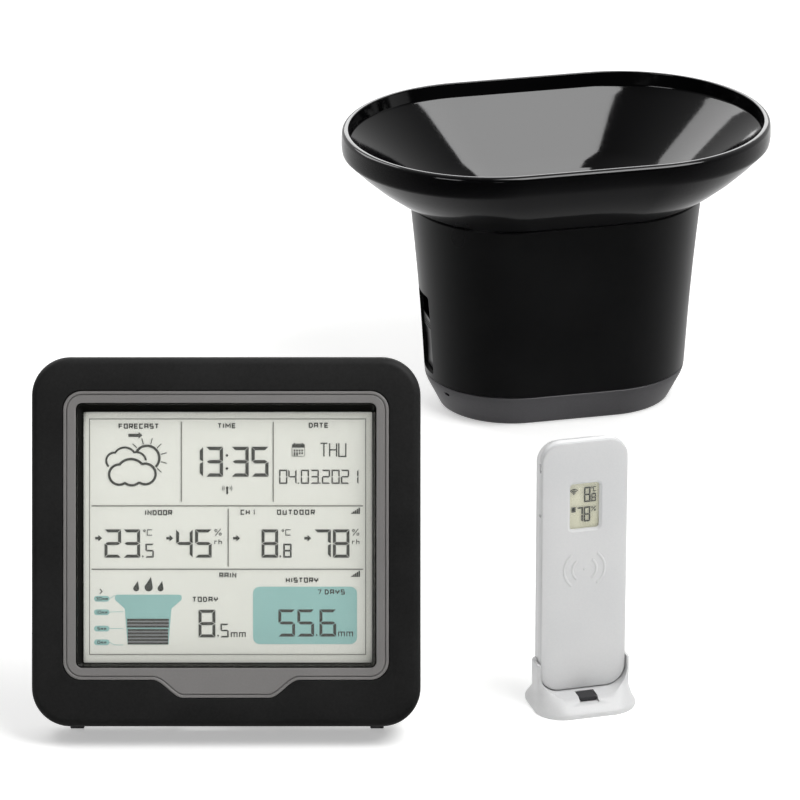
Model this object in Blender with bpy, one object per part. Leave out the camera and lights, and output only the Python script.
"""Home weather station: a display unit leaning on its fold-out stand, a self-emptying
rain gauge with a tipping bucket, and an outdoor sensor in a desk cradle. Each unit is built
in its own upright frame (x to the right, y to the back, z up) under an empty that places it.
Metres."""

import math

import bmesh
import bpy
from mathutils import Matrix, Vector

GAP = 0.0003          # clearance between pieces that touch
WALL = 0.002          # moulded wall of all three units

# Where the units stand: the middle of the whole set is the origin, on the floor
STATION_PLACE = (-0.0968, -0.2785)
STATION_LEAN = math.radians(22)
GAUGE_PLACE = (0.0741, 0.1872)
GAUGE_TURN = math.radians(13.7)
SENSOR_PLACE = (0.0776, -0.2214)
SENSOR_TURN = math.radians(15.5)

# Display unit
CASE_WIDTH, CASE_HEIGHT, CASE_RADIUS, CASE_DEPTH = 0.190, 0.1805, 0.019, 0.030
CASE_SPLIT = 0.016                     # depth at which the front and rear shells meet
BEZEL_WIDTH, BEZEL_HEIGHT, BEZEL_RADIUS, BEZEL_MIDDLE = 0.159, 0.141, 0.0093, 0.0934
BULGE_DROP, BULGE_WIDE, BULGE_NARROW = 0.0088, 0.0359, 0.021
OPENING_WIDTH, OPENING_HEIGHT = 0.1467, 0.1293
VIEW_WIDTH, VIEW_HEIGHT, VIEW_MIDDLE = 0.141, 0.1224, 0.0924
FOOT_X, FOOT_WIDTH, FOOT_DROP, FOOT_REAR = 0.0736, 0.0066, 0.0017, 0.0278
LEG_AXIS_DEPTH, LEG_AXIS_HEIGHT = 0.0270, 0.0750
LEG_OPEN = math.radians(36)
LEG_WIDTH, LEG_THICK, LEG_BARREL = 0.0512, 0.0026, 0.0026
CASE_SCREWS = [(x, z) for z in (0.0150, 0.1655) for x in (-0.080, 0.080)]
KEY_HEIGHT, KEY_PITCH = 0.1350, 0.0225
KEYS = ("mode", "down", "up", "history", "channel")
BAY_LEFT, BAY_RIGHT, BAY_BOTTOM, BAY_TOP, BAY_FLOOR = 0.0370, 0.0822, 0.0280, 0.0812, 0.0136
CELL_RADIUS, CELL_LENGTH = 0.0071, 0.0505

# Rain gauge: stadium sections as half straight length, end radius, height
RIM = (0.0378, 0.0812, 0.1600)
BAND_FOOT = (0.0410, 0.0778, 0.1475)
NECK = (0.0266, 0.0547, 0.1180)
SEAM = (0.0244, 0.0487, 0.0185)
SOLE = (0.0249, 0.0391, 0.0)
LATCH_BOTTOM, LATCH_TOP, LATCH_SLOT_TOP, LATCH_HALF = 0.0224, 0.0530, 0.0680, 0.0106
AXLE_Y, AXLE_Z, AXLE_RADIUS = -0.006, 0.030, 0.0015
BUCKET_TILT = math.radians(18)

# Outdoor sensor
SENSOR_WIDTH, SENSOR_HEIGHT, SENSOR_RADIUS, SENSOR_HALF_DEPTH = 0.0442, 0.1324, 0.0102, 0.0125
SENSOR_FOOT = 0.0085                   # underside of the sensor above the floor
SENSOR_BACK = 0.0075                   # middle of the sensor behind the middle of its cradle
SENSOR_SPLIT = 0.003
TAPER_START, SIDE_TAPER, TOP_TAPER = -0.0075, 0.22, 0.40   # behind the front rim
GLASS_MIDDLE, GLASS_WIDTH, GLASS_HEIGHT = 0.1064, 0.0150, 0.0240


# ---------------------------------------------------------------- shapes as (points, faces)

def loft(loops, ring=False):
    """Skin through loops of equal count, capped at both ends or closed into a ring."""
    count, total = len(loops[0]), len(loops)
    points = [point for loop in loops for point in loop]
    faces = []
    for row in range(total if ring else total - 1):
        here, there = row * count, (row + 1) % total * count
        for i in range(count):
            j = (i + 1) % count
            faces.append((here + i, here + j, there + j, there + i))
    if not ring:
        faces.append(tuple(range(count)))
        faces.append(tuple(range((total - 1) * count, total * count)))
    return points, faces


def lay(outline, axis, level):
    """Put a flat outline across the named axis at a level."""
    if axis == "x":
        return [(level, a, b) for a, b in outline]
    if axis == "y":
        return [(a, level, b) for a, b in outline]
    return [(a, b, level) for a, b in outline]


def prism(outline, axis, low, high):
    return loft([lay(outline, axis, low), lay(outline, axis, high)])


def box(x, y, z):
    corners = [(x[0], y[0]), (x[1], y[0]), (x[1], y[1]), (x[0], y[1])]
    return prism(corners, "z", z[0], z[1])


def arc(middle, radius, start, end, steps):
    angles = [math.radians(start + (end - start) * i / steps) for i in range(steps + 1)]
    return [(middle[0] + radius * math.cos(a), middle[1] + radius * math.sin(a)) for a in angles]


def circle(middle, radius, steps):
    return arc(middle, radius, 0, 360, steps)[:-1]


def rounded(width, height, radius, middle=(0, 0), steps=5):
    across, up = width / 2 - radius, height / 2 - radius
    outline = []
    for turn, (sx, sy) in enumerate(((1, 1), (-1, 1), (-1, -1), (1, -1))):
        corner = (middle[0] + sx * across, middle[1] + sy * up)
        outline += arc(corner, radius, 90 * turn, 90 * turn + 90, steps)
    return outline


def framed(width, height, radius, middle_z, bulge=0.0):
    """Rounded rectangle whose bottom edge can drop in a smooth central bulge."""
    outline = rounded(width, height, radius, (0, middle_z), 7)
    bottom = middle_z - height / 2
    steps = [i / 5 for i in range(6)]
    left = [(-BULGE_WIDE + (BULGE_WIDE - BULGE_NARROW) * t, bottom - bulge * t * t * (3 - 2 * t))
            for t in steps]
    right = [(-x, z) for x, z in reversed(left)]
    return outline[:24] + left + right + outline[24:]


def stadium(half, radius, height, steps=22):
    ends = arc((half, 0), radius, -90, 90, steps) + arc((-half, 0), radius, 90, 270, steps)
    return [(x, y, height) for x, y in ends]


def turned(profile, middle, axis, steps=20):
    """Solid of revolution: profile of (radius, level) with both ends closed."""
    loops = [lay(circle(middle, radius, steps), axis, level) for radius, level in profile]
    return loft(loops)


def merge(*shapes):
    points, faces = [], []
    for more_points, more_faces in shapes:
        start = len(points)
        points += more_points
        faces += [tuple(start + i for i in face) for face in more_faces]
    return points, faces


# ---------------------------------------------------------------- objects and materials

def linear(value):
    return value / 12.92 if value <= 0.04045 else ((value + 0.055) / 1.055) ** 2.4


def material(name, colour, roughness, metallic=0.0):
    made = bpy.data.materials.new(name)
    made.use_nodes = True
    shader = made.node_tree.nodes["Principled BSDF"]
    channels = [linear((colour >> shift & 255) / 255) for shift in (16, 8, 0)]
    shader.inputs["Base Color"].default_value = (*channels, 1.0)
    shader.inputs["Roughness"].default_value = roughness
    shader.inputs["Metallic"].default_value = metallic
    return made


def clear_scene():
    for old in list(bpy.data.objects):
        bpy.data.objects.remove(old)


def empty(name, place, turn=(0, 0, 0), parent=None):
    made = bpy.data.objects.new(name, None)
    bpy.context.scene.collection.objects.link(made)
    made.location = place
    made.rotation_euler = turn
    made.parent = parent
    return made


def build_mesh(name, shape, origin):
    shape_mesh = bmesh.new()
    corners = [shape_mesh.verts.new(Vector(point) - Vector(origin)) for point in shape[0]]
    for face in shape[1]:
        shape_mesh.faces.new([corners[i] for i in face])
    bmesh.ops.recalc_face_normals(shape_mesh, faces=shape_mesh.faces)
    mesh = bpy.data.meshes.new(name)
    shape_mesh.to_mesh(mesh)
    shape_mesh.free()
    return mesh


def piece(name, shape, look, frame, origin=(0, 0, 0), turn=(0, 0, 0)):
    """One named sub-part in its unit's frame, with its own copy of the material."""
    made = bpy.data.objects.new(name, build_mesh(name, shape, origin))
    bpy.context.scene.collection.objects.link(made)
    made.parent = frame
    made.location = origin
    made.rotation_euler = turn
    own = material(name + "_finish", *look)
    made.data.materials.append(own)
    made.data.shade_smooth()
    made.data.set_sharp_from_angle(angle=math.radians(35))
    return made


def boolean(target, shape, operation):
    """Join a shape to the target or cut it out, through a hidden helper."""
    label = f"{target.name}_{operation.lower()}_{len(target.modifiers)}"
    helper = bpy.data.objects.new(label, build_mesh(label, shape, target.location))
    bpy.context.scene.collection.objects.link(helper)
    helper.parent = target.parent
    helper.location = target.location
    helper.hide_render = True
    helper.display_type = "WIRE"
    change = target.modifiers.new(operation, "BOOLEAN")
    change.object = helper
    change.operation = operation
    change.solver = "EXACT"


def join(target, *shapes):
    boolean(target, merge(*shapes), "UNION")


def cut(target, *shapes):
    boolean(target, merge(*shapes), "DIFFERENCE")


BLACK_CASE = (0x1F1F1F, 0.62)
GREY_SATIN = (0x828080, 0.42)
DEEP_BLACK = (0x161511, 0.55)
CLEAR = (0xE4E6E2, 0.08)
DISPLAY = (0xD4D4CA, 0.35)
OPAL = (0xF0F0EC, 0.5)
BOARD_GREEN = (0x1E5B35, 0.5)
FERRITE = (0x35302E, 0.6)
RUBBER = (0x3A3A3C, 0.85)
STEEL = (0xB4B6B8, 0.3, 1.0)
NICKEL = (0xC4C2BA, 0.28, 1.0)
CELL_WRAP = (0x3C5C7A, 0.4)
GLOSS_BLACK = (0x0E0E0F, 0.12)
SATIN_BLACK = (0x1B1B1C, 0.28)
BASE_GREY = (0x474547, 0.45)
WHITE = (0xEDEDEE, 0.4)
KEY_GREY = (0x5A5A5C, 0.55)
BUCKET_GREY = (0x8B8D90, 0.45)


# ---------------------------------------------------------------- display unit

def station_shells(frame):
    middle = CASE_HEIGHT / 2

    def outer(inset, depth):
        size = (CASE_WIDTH - 2 * inset, CASE_HEIGHT - 2 * inset, CASE_RADIUS - inset)
        return lay(framed(*size, middle), "y", depth)

    pocket = framed(BEZEL_WIDTH + 2 * GAP, BEZEL_HEIGHT + 2 * GAP, BEZEL_RADIUS, BEZEL_MIDDLE, BULGE_DROP)
    ledge = framed(0.1482, 0.1308, 0.0034, BEZEL_MIDDLE)
    split = CASE_SPLIT - GAP
    front = piece("station_front_case", loft([
        outer(0, split), outer(0, 0.0045), outer(0.0008, 0.0020), outer(0.0025, 0.0006), outer(0.005, 0),
        lay(pocket, "y", 0.0008), lay(pocket, "y", 0.0027), lay(ledge, "y", 0.0027),
        lay(ledge, "y", 0.0047), outer(WALL, 0.0047), outer(WALL, split)], ring=True), BLACK_CASE, frame)
    join(front, *[turned([(0.0042, 0.0040), (0.0042, 0.0154)], place, "y") for place in CASE_SCREWS])
    cut(front, *[turned([(0.0016, 0.0085), (0.0016, 0.0170)], place, "y", 12) for place in CASE_SCREWS])

    rear = piece("station_rear_case", loft([
        outer(WALL, 0.0280), outer(WALL, CASE_SPLIT), outer(0, CASE_SPLIT), outer(0, 0.0268),
        outer(0.0008, 0.0290), outer(0.003, CASE_DEPTH)]), BLACK_CASE, frame)
    stand_backing = box((-0.0283, 0.0283), (0.0222, 0.0290), (0.0010, 0.0815))
    bay_block = box((BAY_LEFT - 0.0045, BAY_RIGHT + 0.0043), (BAY_FLOOR - 0.0014, 0.0290),
                    (BAY_BOTTOM - 0.004, BAY_TOP + 0.004))
    bosses = [turned([(0.0042, 0.0163), (0.0042, 0.0290)], place, "y") for place in CASE_SCREWS]
    join(rear, stand_backing, bay_block, *bosses)
    screw_bores = [turned([(0.0019, 0.0150), (0.0019, 0.0205), (0.0036, 0.0205), (0.0036, 0.0320)],
                          place, "y", 16) for place in CASE_SCREWS]
    leg_pocket = prism([(0.0258, -0.002), (0.0320, -0.002), (0.0320, 0.0785), (0.0240, 0.0785),
                        (0.0240, 0.0715), (0.0258, 0.0715)], "x", -0.0262, 0.0262)
    middle_x, middle_z = (BAY_LEFT + BAY_RIGHT) / 2, (BAY_BOTTOM + BAY_TOP) / 2
    cavity = rounded(BAY_RIGHT - BAY_LEFT, BAY_TOP - BAY_BOTTOM, 0.001, (middle_x, middle_z), 3)
    recess = rounded(0.0506, 0.0586, 0.002, (middle_x, middle_z), 3)
    bay = loft([lay(cavity, "y", BAY_FLOOR), lay(cavity, "y", 0.0280),
                lay(recess, "y", 0.0280), lay(recess, "y", 0.0320)])
    key_holes = [box((x - 0.0063, x + 0.0063), (0.0270, 0.0320), (KEY_HEIGHT - 0.0033, KEY_HEIGHT + 0.0033))
                 for x in key_places()]
    light_hole = box((-0.0204, 0.0204), (0.0174, 0.0242), (0.1765, 0.1830))
    vents = [box((-0.072 + 0.005 * i, -0.070 + 0.005 * i), (0.0270, 0.0320), (0.096, 0.114))
             for i in range(6)]
    hangers = [prism(keyhole(x, 0.155, 0.0038, 0.0018, 0.0072), "y", 0.0270, 0.0320) for x in (-0.06, 0.06)]
    cut(rear, *screw_bores, leg_pocket, bay, *key_holes, light_hole, *vents, *hangers)
    pin_bore = prism(circle((LEG_AXIS_DEPTH, LEG_AXIS_HEIGHT), 0.0013, 12), "x", -0.0275, 0.0275)
    cut(rear, pin_bore)


def keyhole(x, z, radius, half_slot, rise):
    """Round hole with a narrower slot above it."""
    start = math.degrees(math.acos(half_slot / radius))
    body = arc((x, z), radius, 180 - start, 360 + start, 12)
    return body + arc((x, z + rise), half_slot, 0, 180, 6)


def key_places():
    return [KEY_PITCH * (i - 2) for i in range(len(KEYS))]


def station_bezel(frame):
    def edge(inset, bulge, depth):
        size = (BEZEL_WIDTH - 2 * inset, BEZEL_HEIGHT - 2 * inset, BEZEL_RADIUS - inset)
        return lay(framed(*size, BEZEL_MIDDLE, bulge), "y", depth)

    inner = framed(OPENING_WIDTH, OPENING_HEIGHT, 0.003, BEZEL_MIDDLE)
    piece("station_bezel", loft([
        edge(0, BULGE_DROP, 0.0024), edge(0, BULGE_DROP, 0.0008), edge(0.0004, BULGE_DROP, 0.0004),
        lay(inner, "y", 0.0006), lay(inner, "y", 0.0024)], ring=True), GREY_SATIN, frame)


def station_display(frame):
    rim = framed(0.1474, 0.1300, 0.003, BEZEL_MIDDLE)
    step = framed(0.1455, 0.1280, 0.0025, BEZEL_MIDDLE)
    view = framed(VIEW_WIDTH, VIEW_HEIGHT, 0.0005, VIEW_MIDDLE)
    piece("station_mask", loft([
        lay(rim, "y", 0.0028), lay(rim, "y", 0.0064), lay(view, "y", 0.0064), lay(view, "y", 0.0052),
        lay(step, "y", 0.0028)], ring=True), DEEP_BLACK, frame)
    pane = rounded(0.1460, 0.1286, 0.002, (0, VIEW_MIDDLE), 3)
    piece("station_window", prism(pane, "y", 0.0067, 0.0075), CLEAR, frame)
    piece("station_lcd", prism(pane, "y", 0.0078, 0.0096), DISPLAY, frame)
    guide = rounded(0.1440, 0.1260, 0.002, (0, VIEW_MIDDLE), 3)
    piece("station_light_guide", prism(guide, "y", 0.0099, 0.0117), OPAL, frame)
    board = rounded(0.150, 0.062, 0.002, (0, 0.1215), 2)
    piece("station_board", prism(board, "y", 0.0130, 0.0146), BOARD_GREEN, frame)
    rod = prism(circle((0.0190, 0.0400), 0.0040, 16), "x", -0.080, -0.032)
    piece("station_clock_antenna", rod, FERRITE, frame)


def station_power(frame):
    first = (BAY_LEFT + BAY_RIGHT) / 2
    for number in range(3):
        x = first + 0.0148 * (number - 1)
        cell(f"station_cell_{number + 1}", (x, 0.0213), BAY_BOTTOM + 0.0013, frame)
    width = (BAY_LEFT + 0.001, BAY_RIGHT - 0.001)
    piece("station_lower_contact", box(width, (0.0150, 0.0270), (0.0283, 0.0288)), NICKEL, frame)
    piece("station_upper_contact", box(width, (0.0150, 0.0270), (0.0803, 0.0808)), NICKEL, frame)
    middle = (first, (BAY_BOTTOM + BAY_TOP) / 2)
    cover = rounded(0.0500, 0.0580, 0.002, middle, 3)
    piece("station_battery_cover", prism(cover, "y", 0.0283, 0.0299), BLACK_CASE, frame)


def cell(name, middle, bottom, frame, radius=CELL_RADIUS):
    """Round AA cell standing on its negative end."""
    top = bottom + CELL_LENGTH
    profile = [(radius - 0.001, bottom), (radius, bottom + 0.0008), (radius, top - 0.002),
               (radius - 0.0008, top - 0.0012), (0.0027, top - 0.0012), (0.0025, top)]
    piece(name, turned(profile, middle, "z", 18), CELL_WRAP, frame)


def station_keys(frame):
    for name, x in zip(KEYS, key_places()):
        loops = [lay(rounded(w, h, 0.0015, (x, KEY_HEIGHT), 2), "y", depth) for w, h, depth in (
            (0.0140, 0.0080, 0.0246), (0.0140, 0.0080, 0.0276), (0.0120, 0.0060, 0.0276),
            (0.0120, 0.0060, 0.0307), (0.0114, 0.0054, 0.0310))]
        piece(f"station_{name}_button", loft(loops), KEY_GREY, frame)
    loops = [lay(rounded(w, h, 0.0015, (0, 0.0208), 2), "z", height) for w, h, height in (
        (0.0430, 0.0084, 0.1745), (0.0430, 0.0084, 0.1780), (0.0400, 0.0060, 0.1780), (0.0400, 0.0060, 0.1806))]
    piece("station_light_button", loft(loops), BLACK_CASE, frame)


def station_support(frame, lift):
    """Fold-out leg on its pin, opened until its tip meets the floor, and the rubber feet."""
    axis_height = (lift + LEG_AXIS_HEIGHT * math.cos(STATION_LEAN)
                   - LEG_AXIS_DEPTH * math.sin(STATION_LEAN))
    swing = LEG_OPEN - STATION_LEAN
    front_face = LEG_AXIS_DEPTH - 0.0006
    length = (axis_height - 0.0006 * math.sin(swing)) / math.cos(swing)
    tip = LEG_AXIS_HEIGHT - length
    barrel = arc((LEG_AXIS_DEPTH, LEG_AXIS_HEIGHT), LEG_BARREL, -40, 230, 14)
    outline = barrel + [(front_face, LEG_AXIS_HEIGHT - 0.0045), (front_face, tip),
                        (front_face + LEG_THICK, tip), (front_face + LEG_THICK, LEG_AXIS_HEIGHT - 0.003)]
    origin = (0, LEG_AXIS_DEPTH, LEG_AXIS_HEIGHT)
    hinge = empty("leg_hinge", origin, (LEG_OPEN, 0, 0), frame)
    leg = piece("station_stand", prism([(y - origin[1], z - origin[2]) for y, z in outline],
                "x", -LEG_WIDTH / 2, LEG_WIDTH / 2), BLACK_CASE, hinge)
    cut(leg, prism(circle((0, 0), 0.0013, 12), "x", -0.03, 0.03))
    pin = prism(circle((LEG_AXIS_DEPTH, LEG_AXIS_HEIGHT), 0.0010, 12), "x", -0.0272, 0.0272)
    piece("station_stand_pin", pin, STEEL, frame)
    for side, x in (("left", -FOOT_X), ("right", FOOT_X)):
        pad = rounded(FOOT_WIDTH, 0.0098, 0.001, (x, FOOT_REAR - 0.0049), 3)
        piece(f"station_foot_{side}", prism(pad, "z", -FOOT_DROP, -GAP), RUBBER, frame)


def screw(name, place, axis, head, seat, tip, frame, head_radius, shank_radius):
    """Pan-head screw from its head's outer face to its tip."""
    profile = [(head_radius * 0.8, head), (head_radius, head + (seat - head) * 0.4),
               (head_radius, seat), (shank_radius, seat), (shank_radius, tip)]
    piece(name, turned(profile, place, axis, 14), STEEL, frame)


def build_station():
    lift = FOOT_DROP * math.cos(STATION_LEAN) + FOOT_REAR * math.sin(STATION_LEAN)
    frame = empty("station_frame", (*STATION_PLACE, lift), (-STATION_LEAN, 0, 0))
    station_shells(frame)
    station_bezel(frame)
    station_display(frame)
    station_power(frame)
    station_keys(frame)
    station_support(frame, lift)
    for number, place in enumerate(CASE_SCREWS):
        screw(f"station_screw_{number + 1}", place, "y", 0.0226, 0.0208, 0.0095, frame, 0.0031, 0.0013)


# ---------------------------------------------------------------- rain gauge

def gauge_collector(frame):
    half, radius, top = RIM
    loops = [stadium(0.0002, 0.0130, 0.0640), stadium(0.0002, 0.0135, 0.0740),
             stadium(0.0225, 0.0470, 0.1150), stadium(0.0258, 0.0500, 0.1110),
             stadium(0.0258, 0.0520, 0.1110), stadium(0.0258, 0.0520, NECK[2]), stadium(*NECK),
             stadium(*BAND_FOOT), stadium(BAND_FOOT[0], BAND_FOOT[1] + 0.0006, BAND_FOOT[2] + 0.0012),
             stadium(half, radius - 0.0002, top - 0.0010), stadium(half, radius - 0.0010, top),
             stadium(half, radius - 0.0022, top - 0.0004), stadium(half, radius - 0.0030, top - 0.0080),
             stadium(0.0240, 0.0505, 0.1180), stadium(0.0002, 0.0110, 0.0790),
             stadium(0.0002, 0.0105, 0.0640)]
    piece("gauge_funnel", loft(loops, ring=True), GLOSS_BLACK, frame)

    outer = [(0.0100, 0.0705), (0.0100, 0.0800), (0.0150, 0.0850), (0.0138, 0.0885), (0.0070, 0.0922)]
    inner = [(0.0060, 0.0911), (0.0124, 0.0878), (0.0132, 0.0856), (0.0088, 0.0812), (0.0088, 0.0705)]
    guard = piece("gauge_strainer", turned(list(reversed(outer)) + list(reversed(inner)), (0, 0), "z", 24),
                  BASE_GREY, frame)
    slots = []
    for i in range(6):
        turn = Matrix.Rotation(math.radians(60 * i), 4, "Z")
        points, faces = box((0.0095, 0.0125), (-0.0012, 0.0012), (0.0800, 0.0950))
        slots.append(([tuple(turn @ Vector(point)) for point in points], faces))
    cut(guard, *slots)


def gauge_housing(frame):
    body_top, body_foot = NECK[2] - GAP, SEAM[2] + GAP
    shell = piece("gauge_body", loft([
        stadium(NECK[0], NECK[1], body_top), stadium(SEAM[0], SEAM[1], body_foot),
        stadium(SEAM[0], SEAM[1] - 0.0022, body_foot), stadium(NECK[0], NECK[1] - 0.0022, body_top)],
        ring=True), SATIN_BLACK, frame)
    cut(shell, box((-0.090, -0.060), (-LATCH_HALF - GAP, LATCH_HALF + GAP),
                   (LATCH_BOTTOM - GAP, LATCH_SLOT_TOP)))
    profile = []
    for z in (LATCH_BOTTOM, LATCH_TOP):
        share = (z - SEAM[2]) / (NECK[2] - SEAM[2])
        reach = SEAM[0] + SEAM[1] + share * (NECK[0] + NECK[1] - SEAM[0] - SEAM[1])
        profile.append((-reach + 0.0030, z))
    outline = profile + [(x + 0.002, z) for x, z in reversed(profile)]
    piece("gauge_latch", prism(outline, "y", -LATCH_HALF, LATCH_HALF), SATIN_BLACK, frame)


def gauge_floor(frame):
    half, radius, top = SEAM
    tray = piece("gauge_base", loft([
        stadium(0.0230, 0.0378, 0.0040), stadium(half, radius - 0.0030, top), stadium(half, radius, top),
        stadium(half, radius - 0.0008, top - 0.0035), stadium(SOLE[0], SOLE[1] + 0.0016, 0.0020),
        stadium(*SOLE)]), BASE_GREY, frame)
    lugs = [box((-0.006, 0.006), (y - 0.0015, y + 0.0015), (0.0030, AXLE_Z + 0.0045))
            for y in (AXLE_Y - 0.018, AXLE_Y + 0.018)]
    stops = [turned([(0.0022, 0.0030), (0.0022, 0.0341)], (x, AXLE_Y), "z", 12) for x in (-0.0246, 0.0246)]
    join(tray, *lugs, *stops)
    drains = [box((side * 0.040 - 0.006, side * 0.040 + 0.006), (-0.014, 0.002), (-0.002, 0.0060))
              for side in (-1, 1)]
    bores = [turned([(0.0036, -0.002), (0.0036, 0.0020), (0.0017, 0.0020), (0.0017, 0.0060)],
                    (x, 0.0272), "z", 14) for x in (-0.033, 0.033)]
    cut(tray, *drains, *bores)
    cut(tray, prism(circle((0, AXLE_Z), AXLE_RADIUS + GAP, 14), "y", AXLE_Y - 0.025, AXLE_Y + 0.025))


def gauge_tipper(frame):
    """Two-chamber bucket on its axle, resting tilted on one stop, with the magnet that it carries."""
    origin = (0, AXLE_Y, AXLE_Z)
    pivot = empty("bucket_pivot", origin, (0, -BUCKET_TILT, 0), frame)
    side = [(-0.031, 0.016), (0, 0.002), (0.031, 0.016), (0.0015, 0.029), (-0.0015, 0.029)]
    bucket = piece("gauge_bucket", prism(side, "y", -0.012, 0.012), BUCKET_GREY, pivot)
    join(bucket, prism(circle((0, 0), 0.0038, 16), "y", -0.0140, 0.0140))
    chambers = []
    for sign in (-1, 1):
        outline = [(sign * 0.0012, 0.0046), (sign * 0.040, 0.0221), (sign * 0.040, 0.034), (sign * 0.0012, 0.034)]
        chambers.append(prism(outline, "y", -0.0105, 0.0105))
    bore = prism(circle((0, 0), AXLE_RADIUS + GAP, 14), "y", -0.02, 0.02)
    cut(bucket, *chambers, bore)
    magnet = prism(circle((0, 0.0140), 0.0028, 16), "y", 0.0123, 0.0149)
    piece("gauge_magnet", magnet, NICKEL, pivot)
    pin = prism(circle((0, AXLE_Z), AXLE_RADIUS, 14), "y", AXLE_Y - 0.0210, AXLE_Y + 0.0210)
    piece("gauge_axle", pin, STEEL, frame)


def gauge_electronics(frame):
    def pod_ring(inset, height):
        return lay(rounded(0.058 - 2 * inset, 0.0168 - 2 * inset, 0.002 - inset / 2, (0, 0.0274), 2), "z", height)

    pod = piece("gauge_pod", loft([pod_ring(0.0012, 0.0062), pod_ring(0.0012, 0.0390),
                                   pod_ring(0, 0.0390), pod_ring(0, 0.0045)]), BASE_GREY, frame)
    ears = [box((min(a, b), max(a, b)), (0.0215, 0.0330), (0.0045, 0.0085))
            for a, b in ((-0.0285, -0.0370), (0.0285, 0.0370))]
    join(pod, *ears)
    cut(pod, *[turned([(0.0015, 0.0040), (0.0015, 0.0095)], (x, 0.0272), "z", 12) for x in (-0.033, 0.033)])
    for number, height in enumerate((0.0136, 0.0281)):
        lying_cell(f"gauge_cell_{number + 1}", (0.0274, height), 1 - 2 * number, frame)
    piece("gauge_pod_gasket", loft([pod_ring(0, 0.0393), pod_ring(0, 0.0401), pod_ring(0.0014, 0.0401),
                                    pod_ring(0.0014, 0.0393)], ring=True), RUBBER, frame)
    piece("gauge_pod_lid", loft([pod_ring(0.0018, 0.0372), pod_ring(0.0018, 0.0404), pod_ring(0, 0.0404),
                                 pod_ring(0, 0.0426), pod_ring(0.0006, 0.0430)]), BASE_GREY, frame)
    piece("gauge_board", box((-0.022, 0.022), (0.0158, 0.0172), (0.0060, 0.0560)), BOARD_GREEN, frame)
    for number, x in enumerate((-0.033, 0.033)):
        screw(f"gauge_screw_{number + 1}", (x, 0.0272), "z", 0.0004, 0.0017, 0.0080, frame, 0.0031, 0.0012)


def lying_cell(name, middle, sense, frame):
    """AA cell along x, its positive end towards +x when sense is 1."""
    radius, half = 0.0069, CELL_LENGTH / 2
    profile = [(radius - 0.001, -half), (radius, -half + 0.0008), (radius, half - 0.002),
               (radius - 0.0008, half - 0.0012), (0.0027, half - 0.0012), (0.0025, half)]
    loops = [lay(circle(middle, r, 18), "x", sense * level) for r, level in profile]
    piece(name, loft(loops), CELL_WRAP, frame)


def build_gauge():
    frame = empty("gauge_frame", (*GAUGE_PLACE, 0), (0, 0, GAUGE_TURN))
    gauge_collector(frame)
    gauge_housing(frame)
    gauge_floor(frame)
    gauge_tipper(frame)
    gauge_electronics(frame)


# ---------------------------------------------------------------- outdoor sensor

def sensor_outline(inset, depth):
    """Outline at a depth: behind its front rim the sensor narrows and its top slopes down."""
    back = max(0.0, min(depth, SENSOR_HALF_DEPTH) - TAPER_START)
    width = SENSOR_WIDTH - 2 * inset - 2 * SIDE_TAPER * back
    height = SENSOR_HEIGHT - 2 * inset - TOP_TAPER * back
    middle = (0, SENSOR_FOOT + inset + height / 2)
    return lay(rounded(width, height, SENSOR_RADIUS - inset, middle, 7), "y", depth)


def sensor_shells(frame):
    half, wall = SENSOR_HALF_DEPTH, WALL
    screws = [(-0.0130, 0.1270), (0.0130, 0.1270)]
    front = piece("sensor_front_shell", loft([
        sensor_outline(wall, 0.002 - half), sensor_outline(wall, TAPER_START), sensor_outline(wall, SENSOR_SPLIT),
        sensor_outline(0, SENSOR_SPLIT), sensor_outline(0, TAPER_START), sensor_outline(0, -0.0105),
        sensor_outline(0.0006, -0.0114), sensor_outline(0.0016, -0.0119),
        sensor_outline(0.0055, -half)]), WHITE, frame)
    join(front, *[turned([(0.0032, -0.0112), (0.0032, 0.0028)], place, "y", 14) for place in screws])
    glass = rounded(GLASS_WIDTH, GLASS_HEIGHT, 0.0012, (0, GLASS_MIDDLE), 2)
    pilots = [turned([(0.0013, -0.0060), (0.0013, 0.0040)], place, "y", 10) for place in screws]
    cut(front, prism(glass, "y", -0.015, -0.009), *pilots)

    split = SENSOR_SPLIT + GAP
    rear = piece("sensor_rear_shell", loft([
        sensor_outline(wall, half - 0.002), sensor_outline(wall, split), sensor_outline(0, split),
        sensor_outline(0, 0.0110), sensor_outline(0.0008, 0.0121), sensor_outline(0.0014, half)]), WHITE, frame)
    block = prism(rounded(0.0344, 0.0618, 0.004, (0, 0.0436), 3), "y", -0.0062, 0.0112)
    join(rear, block, *[turned([(0.0032, split), (0.0032, 0.0112)], place, "y", 14) for place in screws])
    cavity = rounded(0.0304, 0.0532, 0.001, (0, 0.0424), 3)
    recess = rounded(0.0316, 0.0591, 0.002, (0, 0.04325), 3)
    bay = loft([lay(cavity, "y", -0.0050), lay(cavity, "y", 0.0103), lay(recess, "y", 0.0103),
                lay(recess, "y", 0.0150)])
    bores = [turned([(0.0014, 0.0020), (0.0014, 0.0070), (0.0026, 0.0070), (0.0026, 0.0150)], place, "y", 12)
             for place in screws]
    keys = [turned([(0.0021, 0.0090), (0.0021, 0.0150)], (x, 0.0830), "y", 12) for x in (-0.006, 0.006)]
    hanger = prism(keyhole(0, 0.1150, 0.0030, 0.0014, 0.0056), "y", 0.0090, 0.0150)
    cut(rear, bay, *bores, *keys, hanger)
    for number, place in enumerate(screws):
        screw(f"sensor_screw_{number + 1}", place, "y", 0.0088, 0.0073, -0.0040, frame, 0.0022, 0.0010)


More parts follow.
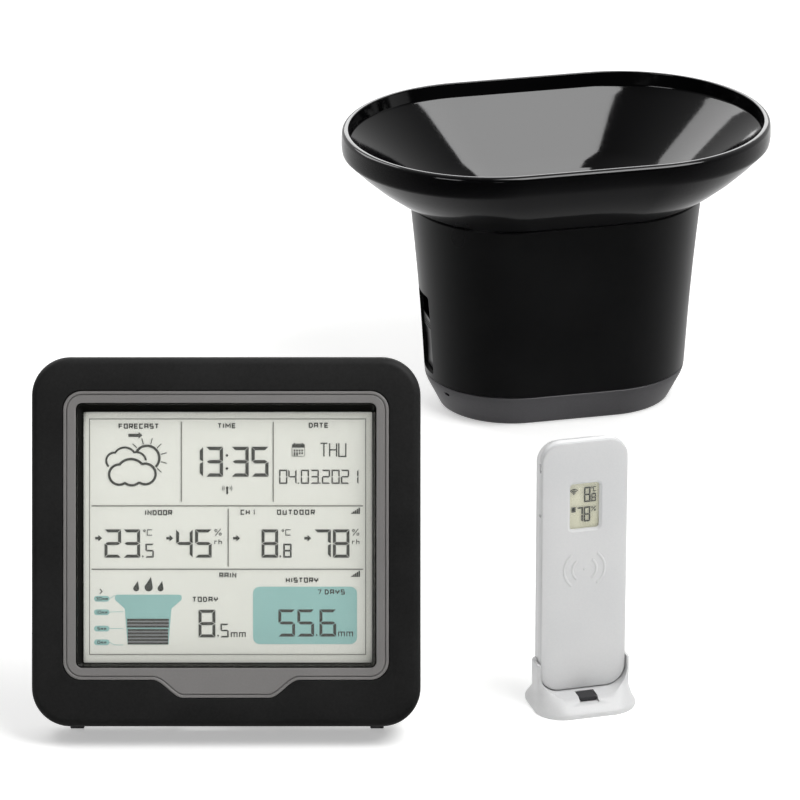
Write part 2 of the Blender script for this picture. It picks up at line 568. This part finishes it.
def sensor_inside(frame):
    glass = rounded(GLASS_WIDTH - 2 * GAP, GLASS_HEIGHT - 2 * GAP, 0.001, (0, GLASS_MIDDLE), 2)
    piece("sensor_window", prism(glass, "y", -0.0119, -0.0107), CLEAR, frame)
    panel = rounded(0.0190, 0.0280, 0.0008, (0, GLASS_MIDDLE), 1)
    piece("sensor_lcd", prism(panel, "y", -0.0098, -0.0080), DISPLAY, frame)
    board = box((-0.0175, 0.0175), (-0.0068, -0.0052), (0.0800, 0.1215))
    piece("sensor_board", board, BOARD_GREEN, frame)
    for number, x in enumerate((-0.0075, 0.0075)):
        cell(f"sensor_cell_{number + 1}", (x, 0.0025), 0.0170, frame, 0.0070)
    piece("sensor_lower_contact", box((-0.0145, 0.0145), (-0.0040, 0.0085), (0.0161, 0.0166)), NICKEL, frame)
    piece("sensor_upper_contact", box((-0.0145, 0.0145), (-0.0040, 0.0085), (0.0681, 0.0686)), NICKEL, frame)
    cover = rounded(0.0310, 0.0585, 0.002, (0, 0.04325), 3)
    piece("sensor_battery_cover", prism(cover, "y", 0.0106, 0.0123), WHITE, frame)
    for name, x in (("channel", -0.006), ("send", 0.006)):
        profile = [(0.0030, 0.0078), (0.0030, 0.0098), (0.0018, 0.0098), (0.0018, 0.0121)]
        piece(f"sensor_{name}_button", turned(profile, (x, 0.0830), "y", 14), KEY_GREY, frame)


def sensor_cradle(frame):
    """Flared foot with two arms that hold the sensor by its lower corners."""
    skirt = [lay(rounded(w, d, r, (0, 0), 5), "z", z) for w, d, r, z in (
        (0.0520, 0.0430, 0.0150, 0.0), (0.0524, 0.0434, 0.0152, 0.0012), (0.0490, 0.0380, 0.0130, 0.0040),
        (0.0470, 0.0330, 0.0100, 0.0078))]
    cradle = piece("sensor_stand", loft(skirt), WHITE, frame)
    join(cradle, prism(rounded(0.0478, 0.0140, 0.003, (0, 0), 3), "z", 0.0020, 0.0238))
    seat, faces = loft([sensor_outline(-GAP, depth) for depth in (-0.036, TAPER_START, SENSOR_HALF_DEPTH, 0.026)])
    cut(cradle, ([(x, y + SENSOR_BACK, z) for x, y, z in seat], faces))
    cut(cradle, box((-0.0048, 0.0048), (-0.030, -0.0060), (0.0058, 0.0120)))


def build_sensor():
    frame = empty("sensor_frame", (*SENSOR_PLACE, 0), (0, 0, SENSOR_TURN))
    sensor = empty("sensor_body_frame", (0, SENSOR_BACK, 0), parent=frame)
    sensor_shells(sensor)
    sensor_inside(sensor)
    sensor_cradle(frame)


clear_scene()
build_station()
build_gauge()
build_sensor()
